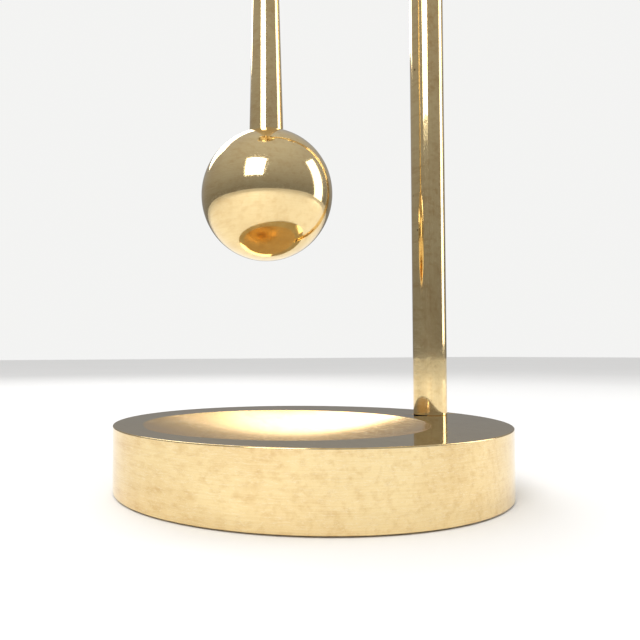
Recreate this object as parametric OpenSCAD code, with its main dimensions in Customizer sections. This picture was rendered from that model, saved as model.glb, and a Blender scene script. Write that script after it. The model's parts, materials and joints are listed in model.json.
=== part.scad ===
// Desk pendulum: a polished ball on a tapered rod, swinging in ball bearings from an arm
// over the dished top of a heavy round base.
// Origin: centre of the underside. +Z up; the post stands towards +X and the ball hangs
// towards -X. The pendulum swings about the X axis of the arm.

/* [Base] */
// Diameter of the base disc
base_d = 150; // [148:1:200]
// Thickness of the base disc
base_t = 24.5; // [22:0.5:34]
// Chamfer that breaks the disc's top and bottom edges
edge_break = 0.4; // [0.2:0.1:1]
// Diameter of the dish's rim
dish_d = 109; // [80:1:112]
// Depth of the dish in its middle
dish_depth = 11; // [6:0.5:12]
// Distance of the dish's centre from the disc's centre, towards -X
dish_offset = 10; // [5:0.5:14]

/* [Felt] */
// Thickness of the felt under the base
felt_t = 1.5; // [1:0.1:3]
// How far the felt stands below the brass
felt_proud = 0.5; // [0.3:0.1:0.8]
// Width of the brass rim outside the felt
felt_margin = 4; // [3:0.5:8]

/* [Post and arm] */
// Outside diameter of the post and arm tubes
tube_d = 14; // [12:0.5:18]
// Wall thickness of both tubes
tube_wall = 1.5; // [1:0.1:2]
// Distance of the post's axis from the disc's centre, towards +X
post_offset = 61; // [58:0.5:62]
// Diameter of the round elbow
knob_d = 26; // [24:1:34]
// Diameter of the slotted pivot head
head_d = 50; // [30:1:56]

/* [Pendulum] */
// Diameter of the ball
ball_d = 50; // [40:1:60]
// Gap between the top of the base and the hanging ball
ball_gap = 62; // [40:1:100]
// Distance of the pendulum from the disc's centre, towards -X
ball_offset = 17.5; // [10:0.5:25]
// Distance from the pivot's axis to the ball's centre
swing_length = 172; // [150:1:220]
// Diameter of the rod where it meets the ball
rod_low_d = 13; // [10:0.5:16]
// Diameter of the rod at its upper end
rod_top_d = 6; // [6:0.1:6.4]
// Angle each way at which the slot's shoulders stop the rod
swing_limit = 60; // [30:1:70]

/* [Bearings] */
// Number of balls in each bearing
bearing_balls = 10; // [8:1:12]

/* [Hidden] */
$fn = 96;

brass = [0.83, 0.62, 0.30];
steel = [0.72, 0.73, 0.75];
felt = [0.10, 0.11, 0.10];

eps = 0.01;               // lets a cut run past a face
thread_slack = 0.01;      // radial gap between a thread's crest and its hole

// Heights
base_z = felt_proud;
top_z = base_z + base_t;
ball_z = top_z + ball_gap + ball_d / 2;
pivot_z = ball_z + swing_length;

// Tubes and knobs
tube_r = tube_d / 2;
tube_bore_r = tube_r - tube_wall;
tube_break = 0.2;          // chamfer on the tubes' ends and on the rod's lower edge
knob_r = knob_d / 2;
head_r = head_d / 2;
knob_flat = sqrt(knob_r * knob_r - tube_r * tube_r);   // centre to the flat a tube butts on
head_flat = sqrt(head_r * head_r - tube_r * tube_r);
spigot_l = 5;
spigot_r = tube_bore_r - 0.05;   // slides into a tube
post_top_z = pivot_z - knob_flat;
arm_start_x = post_offset - knob_flat;
arm_end_x = head_flat - ball_offset;

// Standard ball bearing, 5 x 10 x 4 mm. Its bore is the spindle's diameter.
bearing_bore = 5;
bearing_od = 10;
bearing_w = 4;

// Tie rod, its nut and washers
tie_r = 3;
tie_pitch = 1;
tie_thread_l = 14;
tie_core_r = tie_r - 0.5;
tie_end_z = felt_t + 0.7;
tie_top_z = pivot_z - 4.5;
pocket_r = 9;
pocket_depth = 10.5;
washer_t = 1.6;
washer_r = 6;
lock_washer_r = washer_r - 0.4;
lock_gap = 1;              // width of the lock washer's slanted split
lock_slant = 20;
nut_af = 10;
nut_h = 5;
foot_spigot_r = 4.45;
foot_hole_r = 4.5;
foot_spigot_l = 6;
foot_plug_l = 12;
tie_clear_r = tie_r + 0.3;

// Edge of the dish: a narrow cone between the flat top and the bowl
rim_break = 0.3;           // half the cone's width

// Felt
felt_r = base_d / 2 - felt_margin;
felt_fit = 0.3;

// Pivot
spindle_r = bearing_bore / 2;
spindle_clear_r = spindle_r + 0.1;
spindle_thread_l = 12;
spindle_pitch = 0.8;
spindle_overrun = 4;       // how far the spindle runs past the elbow's centre
shim_t = 0.6;
slot_w = 2 * bearing_w + 2 * shim_t;
eye_r = bearing_od / 2 + 2;
eye_gap = 0.6;
mouth_reach = 1.6 * head_r;
cap_r = 4.5;
cap_collar = 3;
cap_dome_r = 5;
cap_flat = sqrt(head_r * head_r - cap_r * cap_r);
cap_bore_depth = 4;
grub_r = 2;
grub_l = 6;
grub_socket_af = 2;
grub_socket_depth = 2.5;
fine_pitch = 0.7;          // of the 4 mm threads on the set screw and the eye's shank

// Bearing sections, all about the bearing's axis
inner_ring_r = 3.2;
outer_ring_r = 4.3;
pitch_r = (bearing_bore + bearing_od) / 4;
race_ball_r = 0.75;
race_r = race_ball_r + 0.03;
cage_wall = 0.5;
cage_w = 2.2;
cage_pocket_r = race_ball_r + 0.05;
shield_t = 0.25;
shield_inset = 0.05;
shield_bore_r = inner_ring_r + 0.15;

// Rod, eye and ball
ball_r = ball_d / 2;
rod_low_r = rod_low_d / 2;
rod_top_r = rod_top_d / 2;
seat_h = sqrt(ball_r * ball_r - rod_low_r * rod_low_r);  // ball's centre to its flat seat
rod_low_z = ball_z + seat_h;
neck_l = 2;               // plain neck between the eye and the rod
rod_top_z = pivot_z - eye_r - neck_l;
rod_l = rod_top_z - rod_low_z;
rod_taper = (rod_low_r - rod_top_r) / rod_l;
rod_exit_r = rod_top_r + rod_taper * (head_r - eye_r - neck_l);   // where it leaves the head
mouth_half = rod_exit_r + 0.25;
shank_r = 2;
shank_l = 10;
stud_r = 3;
stud_half_l = 12;
stud_pitch = 1;
hole_spare = 1;           // how much deeper than its screw a blind hole is

// ---- shapes that repeat ----

// A bar along +Z from 0 to l, with a V thread cut as rings.
module threaded_bar(r, l, pitch) {
    turns = floor(l / pitch);
    depth = 0.55 * pitch;
    crest = r - thread_slack;
    edge = [for (i = [0 : turns - 1], k = [0, 1])
        k == 0 ? [crest - depth, (i + 0.02) * pitch] : [crest, (i + 0.5) * pitch]];
    rotate_extrude()
        polygon(concat([[0, 0], [crest - depth, 0]], edge, [[crest - depth, l], [0, l]]));
}

// A ring along +Z.
module ring(r_out, r_in, h) {
    difference() {
        cylinder(r = r_out, h = h);
        translate([0, 0, -eps]) cylinder(r = r_in, h = h + 2 * eps);
    }
}

// A tube along +Z with its outer corners broken.
module tube(l) {
    rotate_extrude() polygon([[tube_bore_r, 0], [tube_r - tube_break, 0], [tube_r, tube_break],
                              [tube_r, l - tube_break], [tube_r - tube_break, l],
                              [tube_bore_r, l]]);
}

// Turns a shape made along +Z so that it runs along +X, at the pivot's height.
module along_x(x) {
    translate([x, 0, pivot_z]) rotate([0, 90, 0]) children();
}

// ---- stand ----

module base_disc() {
    r = base_d / 2;
    dish_r = dish_d / 2;
    dish_ball_r = (dish_r * dish_r + dish_depth * dish_depth) / (2 * dish_depth);
    dish_ball_z = top_z - dish_depth + dish_ball_r;
    rim_in_r = dish_r - rim_break;
    rim_drop = top_z - dish_ball_z + sqrt(dish_ball_r * dish_ball_r - rim_in_r * rim_in_r);
    color(brass) difference() {
        translate([0, 0, base_z]) rotate_extrude()
            polygon([[0, 0], [r - edge_break, 0], [r, edge_break], [r, base_t - edge_break],
                     [r - edge_break, base_t], [0, base_t]]);
        translate([-dish_offset, 0, dish_ball_z]) sphere(r = dish_ball_r, $fn = 300);
        translate([-dish_offset, 0, top_z - rim_drop])
            cylinder(r1 = rim_in_r, r2 = rim_in_r + 4 * rim_break, h = 2 * rim_drop);
        translate([0, 0, base_z - eps])
            cylinder(r = felt_r + felt_fit, h = felt_t - felt_proud + eps);
        translate([post_offset, 0, base_z - eps]) cylinder(r = pocket_r, h = pocket_depth + eps);
        translate([post_offset, 0, 0]) cylinder(r = tie_clear_r, h = top_z + 1);
        translate([post_offset, 0, top_z - foot_spigot_l])
            cylinder(r = foot_hole_r, h = foot_spigot_l + 1);
    }
}

module base_felt() {
    color(felt) cylinder(r = felt_r, h = felt_t);
}

module base_washer() {
    color(steel) translate([post_offset, 0, base_z + pocket_depth - washer_t])
        ring(washer_r, tie_clear_r, washer_t);
}

module base_lock_washer() {
    color(steel) translate([post_offset, 0, base_z + pocket_depth - 2 * washer_t]) difference() {
        ring(lock_washer_r, tie_clear_r, washer_t);
        translate([tie_r, -lock_gap / 2, -washer_t]) rotate([lock_slant, 0, 0])
            cube([lock_washer_r, lock_gap, 4 * washer_t]);
    }
}

module base_nut() {
    corner_r = nut_af / 2 / cos(30);
    bevel = corner_r - nut_af / 2;
    color(steel) translate([post_offset, 0, base_z + pocket_depth - 2 * washer_t - nut_h])
    difference() {
        intersection() {
            cylinder(r = corner_r, h = nut_h, $fn = 6);
            rotate_extrude() polygon([[0, 0], [nut_af / 2, 0], [corner_r, bevel],
                                      [corner_r, nut_h - bevel], [nut_af / 2, nut_h], [0, nut_h]]);
        }
        translate([0, 0, -eps]) cylinder(r = tie_r, h = nut_h + 2 * eps);
    }
}

module post_tube() {
    color(brass) translate([post_offset, 0, top_z]) tube(post_top_z - top_z);
}

// Centres the tube on the base: its spigot fits the base's hole and its plug fits the tube.
module post_foot_bush() {
    color(brass) translate([post_offset, 0, top_z]) difference() {
        union() {
            translate([0, 0, -foot_spigot_l]) cylinder(r = foot_spigot_r, h = foot_spigot_l + eps);
            cylinder(r = spigot_r, h = foot_plug_l);
        }
        translate([0, 0, -foot_spigot_l - 1])
            cylinder(r = tie_clear_r, h = foot_spigot_l + foot_plug_l + 2);
    }
}

// Holds the base, the post and the elbow together.
module tie_rod() {
    color(steel) translate([post_offset, 0, tie_end_z]) union() {
        threaded_bar(tie_r, tie_thread_l, tie_pitch);
        translate([0, 0, tie_thread_l - eps])
            cylinder(r = tie_core_r, h = tie_top_z - tie_end_z - 2 * tie_thread_l + 2 * eps);
        translate([0, 0, tie_top_z - tie_end_z - tie_thread_l])
            threaded_bar(tie_r, tie_thread_l, tie_pitch);
    }
}

module elbow_knob() {
    tie_hole_z = tie_top_z - pivot_z + hole_spare;
    color(brass) translate([post_offset, 0, pivot_z]) difference() {
        union() {
            intersection() {
                sphere(r = knob_r);
                translate([-knob_flat, -knob_r, -knob_flat])
                    cube([knob_flat + knob_r, 2 * knob_r, knob_flat + knob_r]);
            }
            translate([0, 0, -knob_flat - spigot_l]) cylinder(r = spigot_r, h = spigot_l + 1);
            translate([-knob_flat - spigot_l, 0, 0]) rotate([0, 90, 0])
                cylinder(r = spigot_r, h = spigot_l + 1);
        }
        translate([0, 0, -knob_flat - spigot_l - 1])
            cylinder(r = tie_r, h = tie_hole_z + knob_flat + spigot_l + 1);
        translate([-knob_flat - spigot_l - 1, 0, 0]) rotate([0, 90, 0])
            cylinder(r = spindle_r, h = knob_flat + spigot_l + 1 + spindle_overrun + hole_spare);
        rotate([-90, 0, 0]) cylinder(r = grub_r, h = knob_r + 1);
    }
}

// Presses on the spindle from the back of the elbow.
module elbow_set_screw() {
    color(steel) translate([post_offset, spindle_r, pivot_z]) rotate([-90, 0, 0]) difference() {
        threaded_bar(grub_r, grub_l, fine_pitch);
        translate([0, 0, grub_l - grub_socket_depth])
            cylinder(r = grub_socket_af / 2 / cos(30), h = grub_socket_depth + 1, $fn = 6);
    }
}

module arm_tube() {
    color(brass) along_x(arm_end_x) tube(arm_start_x - arm_end_x);
}

// A sphere with a slot for the eye. The slot's mouth opens downwards between two shoulders
// that stop the rod.
module pivot_head() {
    wall_y = mouth_half * cos(swing_limit);
    wall_z = mouth_half * sin(swing_limit);
    far_y = wall_y + mouth_reach * sin(swing_limit);
    far_z = wall_z - mouth_reach * cos(swing_limit);
    mouth = [[wall_y, wall_z], [far_y, far_z], [far_y, -mouth_reach], [-far_y, -mouth_reach],
             [-far_y, far_z], [-wall_y, wall_z]];
    color(brass) translate([-ball_offset, 0, pivot_z]) difference() {
        union() {
            intersection() {
                sphere(r = head_r);
                translate([-cap_flat, -head_r, -head_r])
                    cube([cap_flat + head_flat, 2 * head_r, 2 * head_r]);
            }
            translate([head_flat - 1, 0, 0]) rotate([0, 90, 0])
                cylinder(r = spigot_r, h = spigot_l + 1);
        }
        translate([-slot_w / 2, 0, 0]) rotate([0, 90, 0]) cylinder(r = eye_r + eye_gap, h = slot_w);
        translate([-slot_w / 2, 0, 0]) rotate([90, 0, 90]) linear_extrude(slot_w) polygon(mouth);
        translate([-head_r - 1, 0, 0]) rotate([0, 90, 0])
            cylinder(r = spindle_clear_r, h = 2 * head_r + spigot_l + 2);
    }
}

// Runs from the elbow through the arm, the head and both bearings to the cap nut.
module spindle() {
    tip_x = -ball_offset - cap_flat - cap_bore_depth + hole_spare;
    plain_end_x = post_offset + spindle_overrun - spindle_thread_l;
    plain_start_x = -ball_offset - head_flat + 1;
    color(steel) union() {
        along_x(tip_x) threaded_bar(spindle_r, plain_start_x - tip_x, spindle_pitch);
        along_x(plain_start_x - eps)
            cylinder(r = spindle_r, h = plain_end_x - plain_start_x + 2 * eps);
        along_x(plain_end_x) threaded_bar(spindle_r, spindle_thread_l, spindle_pitch);
    }
}

module spindle_cap_nut() {
    dome_drop = sqrt(cap_dome_r * cap_dome_r - cap_r * cap_r);
    color(brass) translate([-ball_offset - cap_flat, 0, pivot_z]) rotate([0, -90, 0]) difference() {
        union() {
            cylinder(r = cap_r, h = cap_collar);
            intersection() {
                translate([0, 0, cap_collar - dome_drop]) sphere(r = cap_dome_r);
                translate([0, 0, cap_collar - eps]) cylinder(r = cap_r, h = cap_dome_r);
            }
        }
        translate([0, 0, -eps]) cylinder(r = spindle_r, h = cap_bore_depth + eps);
    }
}

// ---- bearings, each centred half a width from the middle of the eye ----

module in_bearing(side) {
    translate([-ball_offset + side * bearing_w / 2, 0, pivot_z]) rotate([0, 90, 0]) children();
}

module race_groove() {
    rotate_extrude() translate([pitch_r, 0]) circle(r = race_r, $fn = 48);
}

module bearing_inner_ring(side) {
    color(steel) in_bearing(side) difference() {
        translate([0, 0, -bearing_w / 2]) ring(inner_ring_r, spindle_r, bearing_w);
        race_groove();
    }
}

module bearing_outer_ring(side) {
    color(steel) in_bearing(side) difference() {
        translate([0, 0, -bearing_w / 2]) ring(bearing_od / 2, outer_ring_r, bearing_w);
        race_groove();
    }
}

module bearing_shields(side) {
    color(steel) in_bearing(side) for (face = [-1, 1])
        translate([0, 0, face * (bearing_w / 2 - shield_inset - shield_t / 2) - shield_t / 2])
            ring(outer_ring_r, shield_bore_r, shield_t);
}

module bearing_cage(side) {
    color(brass) in_bearing(side) difference() {
        translate([0, 0, -cage_w / 2])
            ring(pitch_r + cage_wall / 2, pitch_r - cage_wall / 2, cage_w);
        for (i = [0 : bearing_balls - 1])
            rotate([0, 0, i * 360 / bearing_balls]) translate([pitch_r - 1, 0, 0])
                rotate([0, 90, 0]) cylinder(r = cage_pocket_r, h = 2, $fn = 32);
    }
}

module bearing_ball_set(side) {
    color(steel) in_bearing(side) for (i = [0 : bearing_balls - 1])
        rotate([0, 0, i * 360 / bearing_balls]) translate([pitch_r, 0, 0])
            sphere(r = race_ball_r, $fn = 32);
}

module bearing_shims() {
    for (x = [-slot_w / 2, slot_w / 2 - shim_t])
        color(steel) along_x(x - ball_offset) ring(inner_ring_r, spindle_r, shim_t);
}

// ---- pendulum ----

// The ring that holds both bearings, with a shank that screws into the rod.
module pendulum_eye() {
    color(brass) translate([-ball_offset, 0, pivot_z]) difference() {
        union() {
            translate([-bearing_w, 0, 0]) rotate([0, 90, 0]) cylinder(r = eye_r, h = 2 * bearing_w);
            translate([0, 0, -eye_r - neck_l]) cylinder(r = rod_top_r, h = neck_l + 1);
            translate([0, 0, -eye_r - neck_l - shank_l])
                threaded_bar(shank_r, shank_l + eps, fine_pitch);
        }
        translate([-bearing_w - 1, 0, 0]) rotate([0, 90, 0])
            cylinder(r = bearing_od / 2, h = 2 * bearing_w + 2);
    }
}

module pendulum_rod() {
    color(brass) translate([-ball_offset, 0, rod_low_z]) difference() {
        rotate_extrude() polygon([[0, 0], [rod_low_r - tube_break, 0], [rod_low_r, tube_break],
                                  [rod_top_r, rod_l], [0, rod_l]]);
        translate([0, 0, -eps]) cylinder(r = stud_r, h = stud_half_l + hole_spare);
        translate([0, 0, rod_l - shank_l - hole_spare])
            cylinder(r = shank_r, h = shank_l + hole_spare + eps);
    }
}

// Joins the rod to the ball.
module ball_stud() {
    color(steel) translate([-ball_offset, 0, rod_low_z - stud_half_l])
        threaded_bar(stud_r, 2 * stud_half_l, stud_pitch);
}

module pendulum_ball() {
    color(brass) translate([-ball_offset, 0, ball_z]) difference() {
        sphere(r = ball_r, $fn = 200);
        translate([-ball_r, -ball_r, seat_h]) cube([ball_d, ball_d, ball_r]);
        translate([0, 0, seat_h - stud_half_l - hole_spare])
            cylinder(r = stud_r, h = stud_half_l + hole_spare + 1);
    }
}

base_disc();
base_felt();
base_nut();
base_lock_washer();
base_washer();
post_tube();
post_foot_bush();
tie_rod();
elbow_knob();
elbow_set_screw();
arm_tube();
pivot_head();
spindle();
spindle_cap_nut();
bearing_shims();
bearing_inner_ring(-1);  // bearing_a_inner_ring
bearing_inner_ring(1);  // bearing_b_inner_ring
bearing_outer_ring(-1);  // bearing_a_outer_ring
bearing_outer_ring(1);  // bearing_b_outer_ring
bearing_shields(-1);  // bearing_a_shields
bearing_shields(1);  // bearing_b_shields
bearing_cage(-1);  // bearing_a_cage
bearing_cage(1);  // bearing_b_cage
bearing_ball_set(-1);  // bearing_a_balls
bearing_ball_set(1);  // bearing_b_balls
pendulum_eye();
pendulum_rod();
ball_stud();
pendulum_ball();
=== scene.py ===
"""Desk pendulum: a polished brass ball on a tapered rod over the dished top of a round base."""

import json
import math

import bmesh
import bpy
from mathutils import Matrix, Vector


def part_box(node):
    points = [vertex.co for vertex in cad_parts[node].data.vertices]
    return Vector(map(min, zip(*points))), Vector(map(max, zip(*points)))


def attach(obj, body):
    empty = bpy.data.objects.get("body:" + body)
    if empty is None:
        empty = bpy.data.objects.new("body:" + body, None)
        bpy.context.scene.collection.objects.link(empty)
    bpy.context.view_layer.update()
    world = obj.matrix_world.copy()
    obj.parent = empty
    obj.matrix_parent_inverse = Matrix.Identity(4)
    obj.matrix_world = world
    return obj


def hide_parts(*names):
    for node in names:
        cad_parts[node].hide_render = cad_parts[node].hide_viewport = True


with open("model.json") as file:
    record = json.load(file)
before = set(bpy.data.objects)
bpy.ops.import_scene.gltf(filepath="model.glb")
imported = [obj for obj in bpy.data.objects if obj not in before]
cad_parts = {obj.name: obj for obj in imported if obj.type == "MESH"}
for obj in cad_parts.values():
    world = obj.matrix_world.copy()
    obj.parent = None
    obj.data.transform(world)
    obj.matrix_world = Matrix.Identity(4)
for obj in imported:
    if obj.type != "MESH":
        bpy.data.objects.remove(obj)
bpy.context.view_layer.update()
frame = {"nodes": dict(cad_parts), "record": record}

# ---- sizes, in metres ----

# Boxes come from the frame. Sizes that no box gives, such as the dish's, are part.scad's own.

BASE_LOW, BASE_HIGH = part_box("base_disc")
BASE_R = (BASE_HIGH.x - BASE_LOW.x) / 2
BASE_Z = BASE_LOW.z
TOP_Z = BASE_HIGH.z
EDGE_BREAK = 0.0004

DISH_R = 0.0545
DISH_DEPTH = 0.011
DISH_X = -0.010
RIM_BREAK = 0.0003

FELT_LOW, FELT_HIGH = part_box("base_felt")
FELT_GAP = 0.0003
FELT_POCKET_R = (FELT_HIGH.x - FELT_LOW.x) / 2 + FELT_GAP

POST_LOW, POST_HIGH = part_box("post_tube")
POST_R = (POST_HIGH.x - POST_LOW.x) / 2
POST_X = (POST_HIGH.x + POST_LOW.x) / 2
TUBE_WALL = 0.0015
TUBE_BREAK = 0.0002
ARM_LOW, ARM_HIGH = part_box("arm_tube")
PIVOT_Z = (ARM_LOW.z + ARM_HIGH.z) / 2

NUT_POCKET_R = 0.009
NUT_POCKET_DEPTH = 0.0105
TIE_HOLE_R = 0.0033
FOOT_HOLE_R = 0.0045
FOOT_HOLE_DEPTH = 0.006

BALL_LOW, BALL_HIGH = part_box("pendulum_ball")
BALL_R = (BALL_HIGH.x - BALL_LOW.x) / 2
BALL_X = (BALL_HIGH.x + BALL_LOW.x) / 2
BALL_Z = BALL_LOW.z + BALL_R
ROD_LOW, ROD_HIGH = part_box("pendulum_rod")
ROD_LOW_R = (ROD_HIGH.x - ROD_LOW.x) / 2
ROD_TOP_R = 0.003
STUD_R = 0.003
STUD_DEPTH = 0.013
SHANK_R = 0.002
SHANK_DEPTH = 0.011

FINE = 256          # segments round the large mirror-bright shapes
MEDIUM = 128        # segments round the tubes and the rod
ROUND_STEPS = 8     # rings round the disc's edges
BOWL_STEPS = 64     # rings down the dish
BALL_STEPS = 160    # rings down the ball
LENGTH_STEPS = 24   # rings along a tube or the rod
HOLD = 0.0001       # keeps a rounded edge's shading off the flat beside it
EPS = 0.0005        # how far a cutter stands out of what it cuts
SAME = 1e-9         # points closer than this are one point

# ---- camera, placed by the base's own size ----

CAMERA_OUT = 3.48 * BASE_R
CAMERA_ROUND = math.radians(-30.46)
CAMERA_UP = TOP_Z + 0.352 * BASE_R
CAMERA_YAW = math.radians(24.67)
CAMERA_PITCH = math.radians(1.47)
CAMERA_ROLL = math.radians(-0.2)
CAMERA_LENS = 37.17
CAMERA_SHIFT = (0.125, 0.026)
CAMERA_CLIP = (0.005, 40)


# ---- mesh code ----

def ring_points(radius, height, centre, count):
    """A circle of points at a height, as the start of a revolved shape."""
    step = 2 * math.pi / count
    return [Vector((centre.x + radius * math.cos(i * step),
                    centre.y + radius * math.sin(i * step), height)) for i in range(count)]


def arc(centre_h, radius, start_deg, end_deg, steps):
    """Section points (radius, height) along an arc about a centre on the axis."""
    out = []
    for i in range(steps + 1):
        a = math.radians(start_deg + (end_deg - start_deg) * i / steps)
        out.append((radius * math.cos(a), centre_h + radius * math.sin(a), False))
    return out


def straight(a, b, steps):
    """Section points from a to b, both ends sharp."""
    out = []
    for i in range(steps + 1):
        t = i / steps
        out.append((a[0] + (b[0] - a[0]) * t, a[1] + (b[1] - a[1]) * t, i in (0, steps)))
    return out


def join_sections(*parts):
    """Joins section pieces; a point where two pieces meet is a sharp edge."""
    out = []
    for part in parts:
        for k, (r, h, sharp) in enumerate(part):
            same = out and abs(out[-1][0] - r) < SAME and abs(out[-1][1] - h) < SAME
            if same:
                out[-1] = (r, h, True)
            else:
                out.append((r, h, sharp or k in (0, len(part) - 1)))
    return out


def add_rings(bm, section, count, centres):
    """One ring of vertices for each section point, or one vertex where it is on the axis."""
    rows = []
    for k, (radius, height, _) in enumerate(section):
        centre = centres[k] if centres else Vector((0, 0, 0))
        if radius < SAME:
            rows.append([bm.verts.new((centre.x, centre.y, height))])
        else:
            rows.append([bm.verts.new(p) for p in ring_points(radius, height, centre, count)])
    return rows


def add_band(bm, low, high, count, group):
    """The faces between two rings."""
    for i in range(count):
        j = (i + 1) % count
        corners = [low[i % len(low)], low[j % len(low)], high[j % len(high)],
                   high[i % len(high)]]
        face = bm.faces.new(list(dict.fromkeys(corners)))
        face.smooth = True
        face.material_index = group


def sharpen(bm, section, rows, count):
    """Marks the rings at the section's sharp points, so that the shading breaks there."""
    bm.edges.ensure_lookup_table()
    for row, (_, _, sharp) in zip(rows, section):
        if not sharp or len(row) < 2:
            continue
        for i in range(count):
            edge = bm.edges.get((row[i], row[(i + 1) % count]))
            if edge:
                edge.smooth = False


def sweep(name, section, count, centres=None, loop=False, groups=None):
    """Revolves a section about +Z. centres gives each ring's own centre, and groups the
    material index of each band between two rings."""
    bm = bmesh.new()
    rows = add_rings(bm, section, count, centres)
    bands = len(section) if loop else len(section) - 1
    for k in range(bands):
        add_band(bm, rows[k], rows[(k + 1) % len(rows)], count, groups[k] if groups else 0)
    sharpen(bm, section, rows, count)
    bmesh.ops.recalc_face_normals(bm, faces=bm.faces)
    mesh = bpy.data.meshes.new(name)
    bm.to_mesh(mesh)
    bm.free()
    piece = bpy.data.objects.new(name, mesh)
    bpy.context.scene.collection.objects.link(piece)
    return piece


def place(piece, matrix):
    """Moves a piece's mesh, so that its object stays at the origin as the CAD nodes do."""
    piece.data.transform(matrix)
    return piece


def cut(piece, cutters):
    """Takes each cutter's shape out of a piece, and removes the cutters."""
    for cutter in cutters:
        boolean = piece.modifiers.new("cut", "BOOLEAN")
        boolean.operation = "DIFFERENCE"
        boolean.solver = "EXACT"
        boolean.object = cutter
    bpy.context.view_layer.update()
    graph = bpy.context.evaluated_depsgraph_get()
    done = bpy.data.meshes.new_from_object(piece.evaluated_get(graph))
    piece.modifiers.clear()
    piece.data = done
    for cutter in cutters:
        bpy.data.objects.remove(cutter)
    return piece


def plug(radius, low, high, x):
    """A solid cylinder for cutting."""
    section = [(0, low, False), (radius, low, True), (radius, high, True), (0, high, False)]
    return place(sweep("cutter", section, MEDIUM), Matrix.Translation((x, 0, 0)))


# ---- pieces ----

SIDE, TOP, BOWL = range(3)


def rounded(radius, height, start_deg, hold):
    """A quarter round at the disc's outer edge, with a holding ring just past each end."""
    out = []
    for i in range(ROUND_STEPS + 1):
        a = math.radians(start_deg + 90 * i / ROUND_STEPS)
        out.append((radius + EDGE_BREAK * math.cos(a), height + EDGE_BREAK * math.sin(a), False))
    return [hold[0]] + out + [hold[1]]


def base_parts():
    """The disc's section from the felt's recess round to the bowl. Each part is its points,
    the centre of its rings and the finish of its faces."""
    middle = Vector((0, 0, 0))
    dish = Vector((DISH_X, 0, 0))
    sphere_r = (DISH_R ** 2 + DISH_DEPTH ** 2) / (2 * DISH_DEPTH)
    sphere_h = TOP_Z - DISH_DEPTH + sphere_r
    rim_r = DISH_R - RIM_BREAK
    rim_deg = math.degrees(math.asin(rim_r / sphere_r))
    inner = BASE_R - EDGE_BREAK
    low, high = BASE_Z + EDGE_BREAK, TOP_Z - EDGE_BREAK
    recess = [(0, FELT_HIGH.z, False), (FELT_POCKET_R, FELT_HIGH.z, True),
              (FELT_POCKET_R, BASE_Z, True)]
    bottom = rounded(inner, low, -90, ((inner - HOLD, BASE_Z, False),
                                       (BASE_R, low + HOLD, False)))
    top = rounded(inner, high, 0, ((BASE_R, high - HOLD, False), (inner - HOLD, TOP_Z, False)))
    bowl = arc(sphere_h, sphere_r, -90 + rim_deg, -90, BOWL_STEPS)
    bowl[0] = (bowl[0][0], bowl[0][1], True)
    bowl[-1] = (0, TOP_Z - DISH_DEPTH, False)
    return [(recess, middle, SIDE), (bottom, middle, SIDE), (top, middle, SIDE),
            ([(DISH_R + RIM_BREAK, TOP_Z, True)], dish, TOP), (bowl, dish, BOWL)]


def base_section():
    """The whole section, each ring's centre, and the finish of each band between rings."""
    section, centres, groups = [], [], []
    for points, centre, group in base_parts():
        if section:
            groups.append(TOP if group == BOWL else group)
        section += points
        centres += [centre] * len(points)
        groups += [group] * (len(points) - 1)
    return section, centres, groups


def base_disc(materials):
    section, centres, groups = base_section()
    piece = sweep("base_disc_turned", section, FINE, centres, groups=groups)
    for material in materials:
        piece.data.materials.append(material)
    pocket_top = BASE_Z + NUT_POCKET_DEPTH
    cutters = [plug(NUT_POCKET_R, BASE_Z - EPS, pocket_top, POST_X),
               plug(TIE_HOLE_R, pocket_top - EPS, TOP_Z - FOOT_HOLE_DEPTH + EPS, POST_X),
               plug(FOOT_HOLE_R, TOP_Z - FOOT_HOLE_DEPTH, TOP_Z + EPS, POST_X)]
    cut(piece, cutters)
    stand_for(piece, "base_disc", "stand")
    return piece


def tube_section(length):
    bore = POST_R - TUBE_WALL
    return join_sections(
        straight((bore, 0), (POST_R - TUBE_BREAK, 0), 1),
        straight((POST_R - TUBE_BREAK, 0), (POST_R, TUBE_BREAK), 1),
        straight((POST_R, TUBE_BREAK), (POST_R, length - TUBE_BREAK), LENGTH_STEPS),
        straight((POST_R, length - TUBE_BREAK), (POST_R - TUBE_BREAK, length), 1),
        straight((POST_R - TUBE_BREAK, length), (bore, length), 1))


def tube(name, node, length, matrix, material):
    piece = sweep(name, tube_section(length), MEDIUM, loop=True)
    place(piece, matrix)
    piece.data.materials.append(material)
    stand_for(piece, node, "stand")
    return piece


def rod(material):
    low, high = ROD_LOW.z, ROD_HIGH.z
    section = join_sections(
        [(0, low + STUD_DEPTH, False), (STUD_R, low + STUD_DEPTH, True)],
        straight((STUD_R, low + STUD_DEPTH), (STUD_R, low), 1),
        straight((STUD_R, low), (ROD_LOW_R - TUBE_BREAK, low), 1),
        straight((ROD_LOW_R - TUBE_BREAK, low), (ROD_LOW_R, low + TUBE_BREAK), 1),
        straight((ROD_LOW_R, low + TUBE_BREAK), (ROD_TOP_R, high), LENGTH_STEPS),
        straight((ROD_TOP_R, high), (SHANK_R, high), 1),
        straight((SHANK_R, high), (SHANK_R, high - SHANK_DEPTH), 1),
        [(SHANK_R, high - SHANK_DEPTH, True), (0, high - SHANK_DEPTH, False)])
    piece = sweep("pendulum_rod_tapered", section, MEDIUM)
    place(piece, Matrix.Translation((BALL_X, 0, 0)))
    piece.data.materials.append(material)
    stand_for(piece, "pendulum_rod", "pendulum")
    return piece


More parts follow.
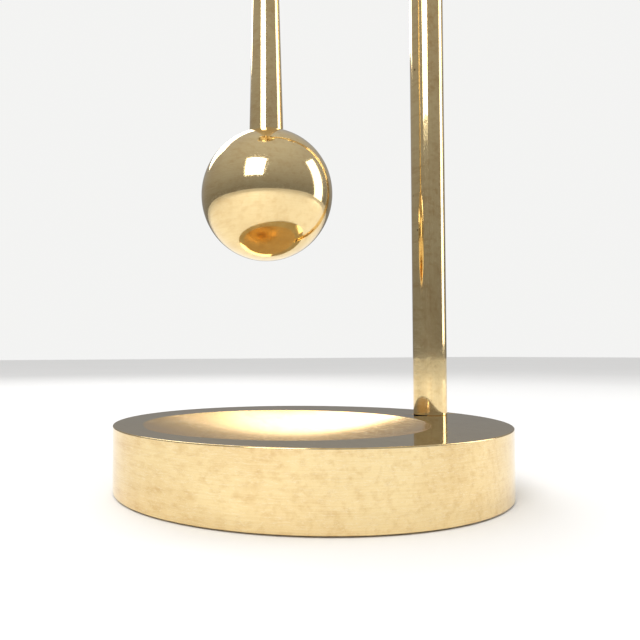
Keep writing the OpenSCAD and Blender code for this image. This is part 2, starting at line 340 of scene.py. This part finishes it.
def ball(material):
    seat_h = math.sqrt(BALL_R ** 2 - ROD_LOW_R ** 2)
    seat_deg = math.degrees(math.asin(seat_h / BALL_R))
    seat_z = BALL_Z + seat_h
    hole_z = seat_z - STUD_DEPTH
    section = join_sections(
        [(0, hole_z, False), (STUD_R, hole_z, True)],
        straight((STUD_R, hole_z), (STUD_R, seat_z), 1),
        straight((STUD_R, seat_z), (ROD_LOW_R, seat_z), 1),
        arc(BALL_Z, BALL_R, seat_deg, -90, BALL_STEPS))
    section[-1] = (0, BALL_Z - BALL_R, False)
    piece = sweep("pendulum_ball_polished", section, FINE)
    place(piece, Matrix.Translation((BALL_X, 0, 0)))
    piece.data.materials.append(material)
    stand_for(piece, "pendulum_ball", "pendulum")
    return piece


def stand_for(piece, node, body):
    """The piece takes a CAD node's place, on the node's body."""
    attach(piece, body)
    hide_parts(node)


# ---- materials ----

# Colours of the metal and of the felt. The dish's colour is the brass's own colour with a painted
# reflection: a more orange copy of the same metal.
CLEAN_BRASS = (0.89, 0.70, 0.37)
# Painted reflection: the dish is the same brass as the rest, tinted orange to stand in for the room
# it reflects.
DISH_BRASS_PAINTED_REFLECTION = (0.93, 0.60, 0.23)
AGED_BRASS = (0.66, 0.43, 0.18)
SCRATCHED_BRASS = (0.95, 0.82, 0.56)
PIT_SHADE = 0.15            # of the tarnish's colour
FELT_DARK = (0.012, 0.018, 0.014)
FELT_LIGHT = (0.055, 0.070, 0.058)

# Two sets of polishing scratches: turn in degrees, counts per metre across and along, width.
SCRATCH_SETS = [
    ((20, 35, 15), 2600.0, 70.0, 0.012),
    ((70, -25, 50), 2200.0, 60.0, 0.010),
]
WIPE_TURN_DEG = (25, 35, 60)
WIPE_SCALE = (420, 50, 420)
LATHE_TURN = 2.0            # how quickly turning marks change round the axis
LATHE_SCRATCH_TURN = 9.0
LATHE_SCRATCH_PITCH = 0.0011
LATHE_SCRATCH_WIDTH = 0.018
DRAWN_SLOW = 6.0            # how quickly a tube's marks change along it
DRAWN_PITCH = 0.0005
PIT_SCALE = 260.0

# Depths in metres, and what each mark adds to the roughness.
SCRATCH_DEPTH = 0.0000012
PIT_DEPTH = 0.00001
STEEL_GRAIN_DEPTH = 0.000004
FIBRE_DEPTH = 0.00012
MARK_ROUGHNESS = 0.02
SCRATCH_ROUGHNESS = 0.16
PIT_ROUGHNESS = 0.4
STEEL_WEAR_ROUGHNESS = 0.12

# How much of the age each cause of tarnish adds, and how bright a scratch shows.
SMUDGE_SHARE = 0.5
MARK_SHARE = 0.6
WIPE_SHARE = 0.9
SCRATCH_SHARE = 0.5


def add(tree, kind, inputs=None, **settings):
    """A shader node with its settings, and its inputs linked or set."""
    node = tree.nodes.new("ShaderNode" + kind)
    for key, value in settings.items():
        setattr(node, key, value)
    for key, value in (inputs or {}).items():
        if isinstance(value, bpy.types.NodeSocket):
            tree.links.new(value, node.inputs[key])
        else:
            node.inputs[key].default_value = value
    return node


def math_node(tree, operation, a, b=0.0):
    return add(tree, "Math", {0: a, 1: b}, operation=operation).outputs[0]


def remap(tree, value, low, high, to_low, to_high):
    inputs = {"Value": value, "From Min": low, "From Max": high,
              "To Min": to_low, "To Max": to_high}
    return add(tree, "MapRange", inputs).outputs["Result"]


def noise(tree, vector, scale, detail=3.0, roughness=0.5):
    inputs = {"Vector": vector, "Scale": scale, "Detail": detail, "Roughness": roughness}
    return add(tree, "TexNoise", inputs).outputs["Fac"]


def mix_colour(tree, factor, a, b):
    node = tree.nodes.new("ShaderNodeMix")
    node.data_type = "RGBA"
    for name, value in (("Factor", factor), ("A", a), ("B", b)):
        kinds = ("RGBA",) if name != "Factor" else ("VALUE",)
        socket = next(s for s in node.inputs if s.name == name and s.type in kinds)
        if isinstance(value, bpy.types.NodeSocket):
            tree.links.new(value, socket)
        else:
            socket.default_value = value
    return next(s for s in node.outputs if s.type == "RGBA")


def add_up(tree, first, *others):
    total = first
    for other in others:
        total = math_node(tree, "ADD", total, other)
    return total


def contour(tree, value, width):
    """Thin lines where a noise crosses its middle value."""
    away = math_node(tree, "ABSOLUTE", math_node(tree, "SUBTRACT", value, 0.5))
    return remap(tree, away, 0.0, width, 1.0, 0.0)


def set_bump(tree, shader, height):
    bump = add(tree, "Bump", {"Height": height, "Strength": 1.0, "Distance": 1.0})
    tree.links.new(bump.outputs["Normal"], shader.inputs["Normal"])


def rgba(colour):
    return (colour[0], colour[1], colour[2], 1.0)


def new_material(name):
    material = bpy.data.materials.new(name)
    material.use_nodes = True
    tree = material.node_tree
    shader = next(n for n in tree.nodes if n.type == "BSDF_PRINCIPLED")
    return material, tree, shader


def scratches(tree, vector, turn_deg, across, along, width):
    """Long thin lines: the contour of a noise stretched along one direction."""
    mapping = add(tree, "Mapping", {"Vector": vector})
    mapping.inputs["Rotation"].default_value = [math.radians(a) for a in turn_deg]
    mapping.inputs["Scale"].default_value = (across, along, across)
    return contour(tree, noise(tree, mapping.outputs["Vector"], 1.0, 2.0), width)


def wipes(tree, vector):
    """Faint slanting streaks where the brass was rubbed with a cloth."""
    mapping = add(tree, "Mapping", {"Vector": vector})
    mapping.inputs["Rotation"].default_value = [math.radians(a) for a in WIPE_TURN_DEG]
    mapping.inputs["Scale"].default_value = WIPE_SCALE
    return noise(tree, mapping.outputs["Vector"], 1.0, 3.0, 0.6)


def turned_vector(tree, vector, centre_x, pitch, turn_scale):
    """Coordinates that follow a lathe: quick across the marks, slow round the axis."""
    parts = add(tree, "SeparateXYZ", {0: vector})
    from_axis = math_node(tree, "SUBTRACT", parts.outputs["X"], centre_x)
    flat = add(tree, "CombineXYZ", {"X": from_axis, "Y": parts.outputs["Y"]}).outputs[0]
    radius = add(tree, "VectorMath", {0: flat}, operation="LENGTH").outputs["Value"]
    across = math_node(tree, "ADD", radius, parts.outputs["Z"])
    across = math_node(tree, "MULTIPLY", across, 1 / pitch)
    unit = add(tree, "VectorMath", {0: flat}, operation="NORMALIZE").outputs[0]
    round_axis = add(tree, "VectorMath", {0: unit, "Scale": turn_scale}, operation="SCALE")
    lift = add(tree, "CombineXYZ", {"Z": across}).outputs[0]
    inputs = {0: round_axis.outputs[0], 1: lift}
    return add(tree, "VectorMath", inputs, operation="ADD").outputs["Vector"]


def lathe_lines(tree, vector, centre_x, pitch):
    """Turning marks, which fade in and out round the axis."""
    turned = turned_vector(tree, vector, centre_x, pitch, LATHE_TURN)
    return noise(tree, turned, 1.0, 3.0, 0.7)


def lathe_scratches(tree, vector, centre_x):
    """Short fine scratches along the turning marks."""
    turned = turned_vector(tree, vector, centre_x, LATHE_SCRATCH_PITCH, LATHE_SCRATCH_TURN)
    return contour(tree, noise(tree, turned, 1.0, 3.0, 0.6), LATHE_SCRATCH_WIDTH)


def drawn_lines(tree, vector, along_x):
    """Marks along a tube: a noise that hardly changes along its axis."""
    mapping = add(tree, "Mapping", {"Vector": vector})
    slow, fast = DRAWN_SLOW, 1 / DRAWN_PITCH
    mapping.inputs["Scale"].default_value = (slow if along_x else fast, fast,
                                             fast if along_x else slow)
    return noise(tree, mapping.outputs["Vector"], 1.0, 2.0, 0.6)


def pits(tree, vector, scale, share):
    """Small round specks at a few of the cells of a scattered grid."""
    cells = add(tree, "TexVoronoi", {"Vector": vector, "Scale": scale})
    split = add(tree, "SeparateColor", {0: cells.outputs["Color"]})
    chosen = math_node(tree, "LESS_THAN", split.outputs[0], share)
    near = remap(tree, cells.outputs["Distance"], 0.06, 0.14, 1.0, 0.0)
    return math_node(tree, "MULTIPLY", chosen, near)


def all_scratches(tree, vector, scored):
    """The polishing scratches, with the lathe's own where there are any."""
    fine, crossed = (scratches(tree, vector, *values) for values in SCRATCH_SETS)
    lines = math_node(tree, "MAXIMUM", fine, crossed)
    return math_node(tree, "MAXIMUM", lines, scored) if scored else lines


def tarnish_amount(tree, vector, marks, age):
    """How far the tarnish shows: in clouds, in smudges, in the marks and where it was wiped."""
    cloud = noise(tree, vector, 32.0, 5.0, 0.6)
    smudge = noise(tree, vector, 160.0, 4.0, 0.65)
    return add_up(tree, remap(tree, cloud, 0.42, 0.72, 0.0, age),
                  remap(tree, smudge, 0.5, 0.8, 0.0, age * SMUDGE_SHARE),
                  remap(tree, marks, 0.45, 0.75, 0.0, age * MARK_SHARE),
                  remap(tree, wipes(tree, vector), 0.48, 0.70, 0.0, age * WIPE_SHARE))


def brass_colour(tree, stain, lines, specks, clean, tarnish):
    colour = mix_colour(tree, stain, rgba(clean), rgba(tarnish))
    worn = math_node(tree, "MULTIPLY", lines, SCRATCH_SHARE)
    colour = mix_colour(tree, worn, colour, rgba(SCRATCHED_BRASS))
    dark = [c * PIT_SHADE for c in tarnish]
    return mix_colour(tree, specks, colour, rgba(dark))


def brass_roughness(tree, stain, marks, lines, specks, polish):
    return add_up(tree, remap(tree, stain, 0.0, 1.0, *polish),
                  remap(tree, marks, 0.45, 0.75, 0.0, MARK_ROUGHNESS),
                  math_node(tree, "MULTIPLY", lines, SCRATCH_ROUGHNESS),
                  math_node(tree, "MULTIPLY", specks, PIT_ROUGHNESS))


def brass_height(tree, vector, marks, lines, specks, line_depth, ripple):
    uneven = noise(tree, vector, 330.0, 2.0, 0.5)
    return add_up(tree, math_node(tree, "MULTIPLY", marks, line_depth),
                  math_node(tree, "MULTIPLY", lines, -SCRATCH_DEPTH),
                  math_node(tree, "MULTIPLY", specks, -PIT_DEPTH),
                  math_node(tree, "MULTIPLY", uneven, ripple))


def brass(name, clean, tarnish, polish, lines, line_depth, ripple, pit_share, age):
    """Polished brass. polish is the roughness of clean and of tarnished metal, lines a
    function that gives its machining marks, ripple the depth of its slow unevenness in
    metres, and age how far the tarnish shows."""
    material, tree, shader = new_material(name)
    vector = add(tree, "TexCoord").outputs["Object"]
    marks, scored = lines(tree, vector)
    scratched = all_scratches(tree, vector, scored)
    specks = pits(tree, vector, PIT_SCALE, pit_share)
    stain = tarnish_amount(tree, vector, marks, age)
    colour = brass_colour(tree, stain, scratched, specks, clean, tarnish)
    tree.links.new(colour, shader.inputs["Base Color"])
    rough = brass_roughness(tree, stain, marks, scratched, specks, polish)
    tree.links.new(rough, shader.inputs["Roughness"])
    shader.inputs["Metallic"].default_value = 1.0
    height = brass_height(tree, vector, marks, scratched, specks, line_depth, ripple)
    set_bump(tree, shader, height)
    return material


def steel(name, clean, worn, roughness):
    material, tree, shader = new_material(name)
    vector = add(tree, "TexCoord").outputs["Object"]
    cloud = noise(tree, vector, 300.0, 4.0, 0.6)
    grain = noise(tree, vector, 5000.0, 2.0, 0.5)
    tree.links.new(mix_colour(tree, cloud, rgba(clean), rgba(worn)),
                   shader.inputs["Base Color"])
    rough = remap(tree, cloud, 0.3, 0.7, roughness, roughness + STEEL_WEAR_ROUGHNESS)
    tree.links.new(rough, shader.inputs["Roughness"])
    shader.inputs["Metallic"].default_value = 1.0
    set_bump(tree, shader, math_node(tree, "MULTIPLY", grain, STEEL_GRAIN_DEPTH))
    return material


def felt(name):
    material, tree, shader = new_material(name)
    vector = add(tree, "TexCoord").outputs["Object"]
    cloud = noise(tree, vector, 90.0, 3.0, 0.5)
    fibres = noise(tree, vector, 2400.0, 6.0, 0.75)
    mixed = math_node(tree, "MULTIPLY", cloud, fibres)
    lit = remap(tree, mixed, 0.1, 0.4, 0.0, 1.0)
    colour = mix_colour(tree, lit, rgba(FELT_DARK), rgba(FELT_LIGHT))
    tree.links.new(colour, shader.inputs["Base Color"])
    tree.links.new(remap(tree, fibres, 0.3, 0.7, 0.85, 1.0), shader.inputs["Roughness"])
    shader.inputs["Sheen Weight"].default_value = 0.4
    set_bump(tree, shader, math_node(tree, "MULTIPLY", fibres, FIBRE_DEPTH))
    return material


def brass_materials():
    """One finish for each way that the brass was worked."""
    def turned(centre_x, pitch, scored):
        def lines(tree, vector):
            marks = lathe_lines(tree, vector, centre_x, pitch)
            return marks, lathe_scratches(tree, vector, centre_x) if scored else None
        return lines

    def drawn(along_x):
        def lines(tree, vector):
            return drawn_lines(tree, vector, along_x), None
        return lines

    def finish(name, polish, lines, line_depth, ripple, pit_share, age, clean=CLEAN_BRASS):
        return brass("brass_" + name, clean, AGED_BRASS, polish, lines, line_depth, ripple,
                     pit_share, age)

    on_base = turned(0.0, 0.0004, True)
    on_top = turned(0.0, 0.0005, False)
    in_dish = turned(DISH_X, 0.0006, False)
    on_ball = turned(BALL_X, 0.0005, False)
    return {
        "side": finish("side", (0.012, 0.045), on_base, 6e-7, 8e-7, 0.0, 0.45),
        "top": finish("top", (0.020, 0.055), on_top, 2e-7, 6e-7, 0.03, 0.25),
        # The dish's untarnished colour is the orange copy of the brass, which carries a painted
        # reflection.
        "dish": finish("dish", (0.150, 0.230), in_dish, 1.0e-6, 1.5e-6, 0.07, 0.30, DISH_BRASS_PAINTED_REFLECTION),
        "post": finish("post", (0.030, 0.070), drawn(False), 3e-7, 2.2e-6, 0.05, 0.50),
        "arm": finish("arm", (0.030, 0.070), drawn(True), 3e-7, 2.2e-6, 0.05, 0.50),
        "rod": finish("rod", (0.030, 0.070), on_ball, 8e-7, 3.0e-6, 0.03, 0.45),
        "ball": finish("ball", (0.006, 0.030), on_ball, 5e-8, 5e-7, 0.02, 0.35),
        "knob": finish("knob", (0.020, 0.055), drawn(True), 2e-7, 1.0e-6, 0.03, 0.40),
        "inner": finish("inner", (0.220, 0.340), on_top, 2.0e-6, 1.5e-6, 0.02, 0.50),
    }


def finish_cad_nodes(finishes):
    """The CAD nodes that stay in sight take a finish by their record's slot."""
    by_slot = {
        "tube_brass": finishes["post"],
        "ball_brass": finishes["ball"],
        "base_brass": finishes["side"],
        "knob_brass": finishes["knob"],
        "inner_brass": finishes["inner"],
        "steel": steel("steel_plain", (0.55, 0.55, 0.56), (0.42, 0.42, 0.43), 0.25),
        "bearing_steel": steel("steel_ground", (0.68, 0.68, 0.70), (0.55, 0.55, 0.57), 0.10),
        "felt": felt("felt_pressed"),
    }
    for part in frame["record"]["subparts"]:
        node = frame["nodes"][part["node"]]
        node.data.materials.clear()
        node.data.materials.append(by_slot[part["material_slot"]])


# ---- surroundings ----

# A plain studio: a neutral grey room that is lighter overhead, and a pale backdrop, which only
# the camera sees.
ROOM_LOW = (0.22, 0.22, 0.22)
ROOM_HIGH = (0.60, 0.60, 0.60)
BACKDROP = (0.90, 0.90, 0.89)

# Soft boxes: name, position, width and height in metres, watts. Each faces the object.
SOFT_BOXES = [
    ("key_box", (-0.70, -0.60, 0.80), (0.60, 0.60), 7.0),
    ("fill_box", (0.90, -0.30, 0.45), (0.40, 0.80), 3.0),
    ("back_box", (0.10, 0.90, 0.80), (0.80, 0.40), 4.0),
]
OVERHEAD_STRENGTH = 1.2
OVERHEAD_SPREAD = math.radians(70)
OVERHEAD_TILT = (math.radians(-10), math.radians(-14), 0)
FLOOR_HALF = 6.0
FLOOR_COLOURS = ((0.80, 0.795, 0.785), (0.84, 0.835, 0.825))
FLOOR_ROUGHNESS = 0.75


def camera_axes():
    """The camera's right, up and forward directions."""
    cos_p, sin_p = math.cos(CAMERA_PITCH), math.sin(CAMERA_PITCH)
    cos_y, sin_y = math.cos(CAMERA_YAW), math.sin(CAMERA_YAW)
    forward = Vector((sin_y * cos_p, cos_y * cos_p, sin_p))
    level = Vector((cos_y, -sin_y, 0))
    upright = level.cross(forward)
    right = math.cos(CAMERA_ROLL) * level + math.sin(CAMERA_ROLL) * upright
    return right, right.cross(forward), forward


def make_camera():
    right, up, forward = camera_axes()
    data = bpy.data.cameras.new("camera")
    data.lens = CAMERA_LENS
    data.shift_x, data.shift_y = CAMERA_SHIFT
    data.clip_start, data.clip_end = CAMERA_CLIP
    camera = bpy.data.objects.new("camera", data)
    axes = Matrix((right, up, -forward)).transposed().to_4x4()
    at = (CAMERA_OUT * math.sin(CAMERA_ROUND), -CAMERA_OUT * math.cos(CAMERA_ROUND), CAMERA_UP)
    camera.matrix_world = Matrix.Translation(at) @ axes
    bpy.context.scene.collection.objects.link(camera)
    bpy.context.scene.camera = camera


def make_world():
    """The neutral room that lights the object evenly, and the pale backdrop behind it."""
    world = bpy.data.worlds.new("studio")
    world.use_nodes = True
    tree = world.node_tree
    background = next(n for n in tree.nodes if n.type == "BACKGROUND")
    direction = add(tree, "TexCoord").outputs["Generated"]
    height = add(tree, "SeparateXYZ", {0: direction}).outputs["Z"]
    upward = remap(tree, height, 0.0, 1.0, 0.0, 1.0)
    room = mix_colour(tree, upward, rgba(ROOM_LOW), rgba(ROOM_HIGH))
    path = add(tree, "LightPath")
    seen = mix_colour(tree, path.outputs["Is Camera Ray"], room, rgba(BACKDROP))
    tree.links.new(seen, background.inputs["Color"])
    bpy.context.scene.world = world


def make_floor():
    """A plain pale floor."""
    mesh = bpy.data.meshes.new("floor")
    corners = [(x * FLOOR_HALF, y * FLOOR_HALF, 0) for x, y in ((-1, -1), (1, -1), (1, 1), (-1, 1))]
    mesh.from_pydata(corners, [], [(0, 1, 2, 3)])
    floor = bpy.data.objects.new("floor", mesh)
    bpy.context.scene.collection.objects.link(floor)
    material, tree, shader = new_material("floor_pale")
    vector = add(tree, "TexCoord").outputs["Object"]
    cloud = noise(tree, vector, 3.0, 3.0, 0.5)
    colour = mix_colour(tree, cloud, *(rgba(c) for c in FLOOR_COLOURS))
    tree.links.new(colour, shader.inputs["Base Color"])
    shader.inputs["Roughness"].default_value = FLOOR_ROUGHNESS
    mesh.materials.append(material)


def make_soft_box(name, position, size, watts, target):
    """A rectangular light at a position, turned to face the target."""
    data = bpy.data.lights.new(name, "AREA")
    data.shape = "RECTANGLE"
    data.size, data.size_y = size
    data.energy = watts
    box = bpy.data.objects.new(name, data)
    away = Vector(position) - target
    turn = away.to_track_quat("Z", "Y").to_matrix().to_4x4()
    box.matrix_world = Matrix.Translation(position) @ turn
    bpy.context.scene.collection.objects.link(box)


def make_overhead():
    """One large soft light overhead, which the brass doesn't mirror."""
    data = bpy.data.lights.new("overhead", "SUN")
    data.energy = OVERHEAD_STRENGTH
    data.angle = OVERHEAD_SPREAD
    light = bpy.data.objects.new("overhead", data)
    light.rotation_euler = OVERHEAD_TILT
    light.visible_glossy = False
    bpy.context.scene.collection.objects.link(light)


def make_lights():
    """Neutral soft boxes round the object, and the light overhead."""
    target = Vector((0, 0, (TOP_Z + PIVOT_Z) / 2))
    for name, position, size, watts in SOFT_BOXES:
        make_soft_box(name, position, size, watts, target)
    make_overhead()


def main():
    bpy.context.scene.view_settings.view_transform = "Standard"
    finishes = brass_materials()
    finish_cad_nodes(finishes)
    base_disc([finishes["side"], finishes["top"], finishes["dish"]])
    upright = Matrix.Translation((POST_X, 0, POST_LOW.z))
    tube("post_tube_polished", "post_tube", POST_HIGH.z - POST_LOW.z, upright, finishes["post"])
    lying = Matrix.Translation((ARM_LOW.x, 0, PIVOT_Z)) @ Matrix.Rotation(math.pi / 2, 4, "Y")
    tube("arm_tube_polished", "arm_tube", ARM_HIGH.x - ARM_LOW.x, lying, finishes["arm"])
    rod(finishes["rod"])
    ball(finishes["ball"])
    make_world()
    make_floor()
    make_lights()
    make_camera()


main()
